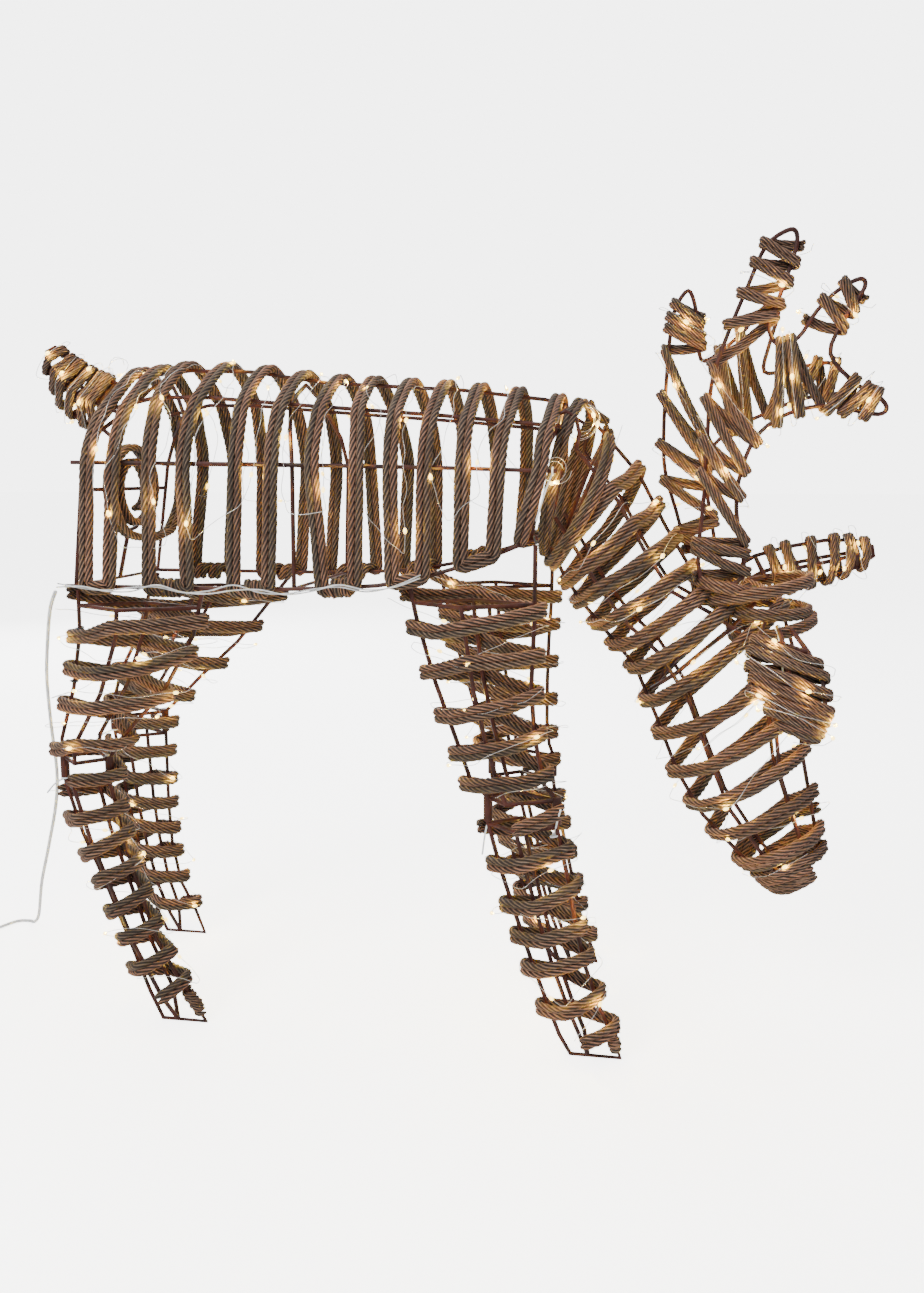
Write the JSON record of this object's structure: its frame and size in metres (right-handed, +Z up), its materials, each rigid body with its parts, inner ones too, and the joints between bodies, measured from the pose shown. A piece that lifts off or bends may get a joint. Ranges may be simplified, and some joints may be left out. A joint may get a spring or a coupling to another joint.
{
  "type": "light-up wicker yard reindeer",
  "caption": "Grazing reindeer figure for the yard, wire frames wound with wicker cord, plug-in lower legs, antlers and a string of small lights with a plug lead.",
  "frame": {"origin": "middle of the figure's length and width at the ground under its feet", "axes": "+X forward to the head, -Y the right side, +Z up"},
  "size_m": [1.1472, 0.2706, 0.6977],
  "materials": {
    "frame_wire": "dark reddish-brown paint on welded steel wire",
    "wicker_cord": "matt twisted brown cord",
    "light_string": "fine wire with small warm white lamps",
    "lead_cover": "clear thin lead cover",
    "housing": "fine matt black",
    "pins": "smooth bright"
  },
  "bodies": {
    "figure": {"belly_rail_left": "frame_wire", "belly_rail_right": "frame_wire", "body_and_head_light_string": "light_string", "body_hoop_front": "frame_wire", "body_hoop_middle": "frame_wire", "body_hoop_rear": "frame_wire", "body_wicker": "wicker_cord", "cheek_wire_lower_left": "frame_wire", "cheek_wire_lower_right": "frame_wire", "cheek_wire_upper_left": "frame_wire", "cheek_wire_upper_right": "frame_wire", "crown_ring": "frame_wire", "lead_coil": "lead_cover", "lead_from_body": "lead_cover", "lead_to_transformer": "lead_cover", "left_antler_beam_wicker": "wicker_cord", "left_antler_frame": "frame_wire", "left_antler_stem_wicker": "wicker_cord", "left_ear_frame": "frame_wire", "left_ear_wicker": "wicker_cord", "left_front_upper_leg_frame": "frame_wire", "left_front_upper_leg_wicker": "wicker_cord", "left_hind_upper_leg_frame": "frame_wire", "left_hind_upper_leg_wicker": "wicker_cord", "mid_rail_left": "frame_wire", "mid_rail_right": "frame_wire", "nape_wire": "frame_wire", "neck_and_head_wicker": "wicker_cord", "neck_base_ring": "frame_wire", "plug_pin_left": "pins", "plug_pin_right": "pins", "ridge_wire": "frame_wire", "right_antler_beam_wicker": "wicker_cord", "right_antler_fore_wicker": "wicker_cord", "right_antler_frame": "frame_wire", "right_antler_stem_wicker": "wicker_cord", "right_ear_frame": "frame_wire", "right_ear_wicker": "wicker_cord", "right_front_upper_leg_frame": "frame_wire", "right_front_upper_leg_wicker": "wicker_cord", "right_hind_upper_leg_frame": "frame_wire", "right_hind_upper_leg_wicker": "wicker_cord", "tail_frame": "frame_wire", "tail_wicker": "wicker_cord", "throat_wire": "frame_wire", "transformer_housing": "housing", "upper_rail_left": "frame_wire", "upper_rail_right": "frame_wire"},
    "right_front_lower_leg": {"right_front_lower_leg_frame": "frame_wire", "right_front_lower_leg_wicker": "wicker_cord", "right_front_lower_leg_light_string": "light_string"},
    "left_front_lower_leg": {"left_front_lower_leg_frame": "frame_wire", "left_front_lower_leg_wicker": "wicker_cord", "left_front_lower_leg_light_string": "light_string"},
    "right_hind_lower_leg": {"right_hind_lower_leg_frame": "frame_wire", "right_hind_lower_leg_wicker": "wicker_cord", "right_hind_lower_leg_light_string": "light_string"},
    "left_hind_lower_leg": {"left_hind_lower_leg_frame": "frame_wire", "left_hind_lower_leg_wicker": "wicker_cord", "left_hind_lower_leg_light_string": "light_string"}
  },
  "joints": [
    {"name": "right_front_lower_leg_slide", "type": "slide", "parent": "figure", "child": "right_front_lower_leg", "axis": [0, 0, -1], "range_m": [0, 0.03]},
    {"name": "left_front_lower_leg_slide", "type": "slide", "parent": "figure", "child": "left_front_lower_leg", "axis": [0, 0, -1], "range_m": [0, 0.03]},
    {"name": "right_hind_lower_leg_slide", "type": "slide", "parent": "figure", "child": "right_hind_lower_leg", "axis": [0, 0, -1], "range_m": [0, 0.03]},
    {"name": "left_hind_lower_leg_slide", "type": "slide", "parent": "figure", "child": "left_hind_lower_leg", "axis": [0, 0, -1], "range_m": [0, 0.03]}
  ]
}
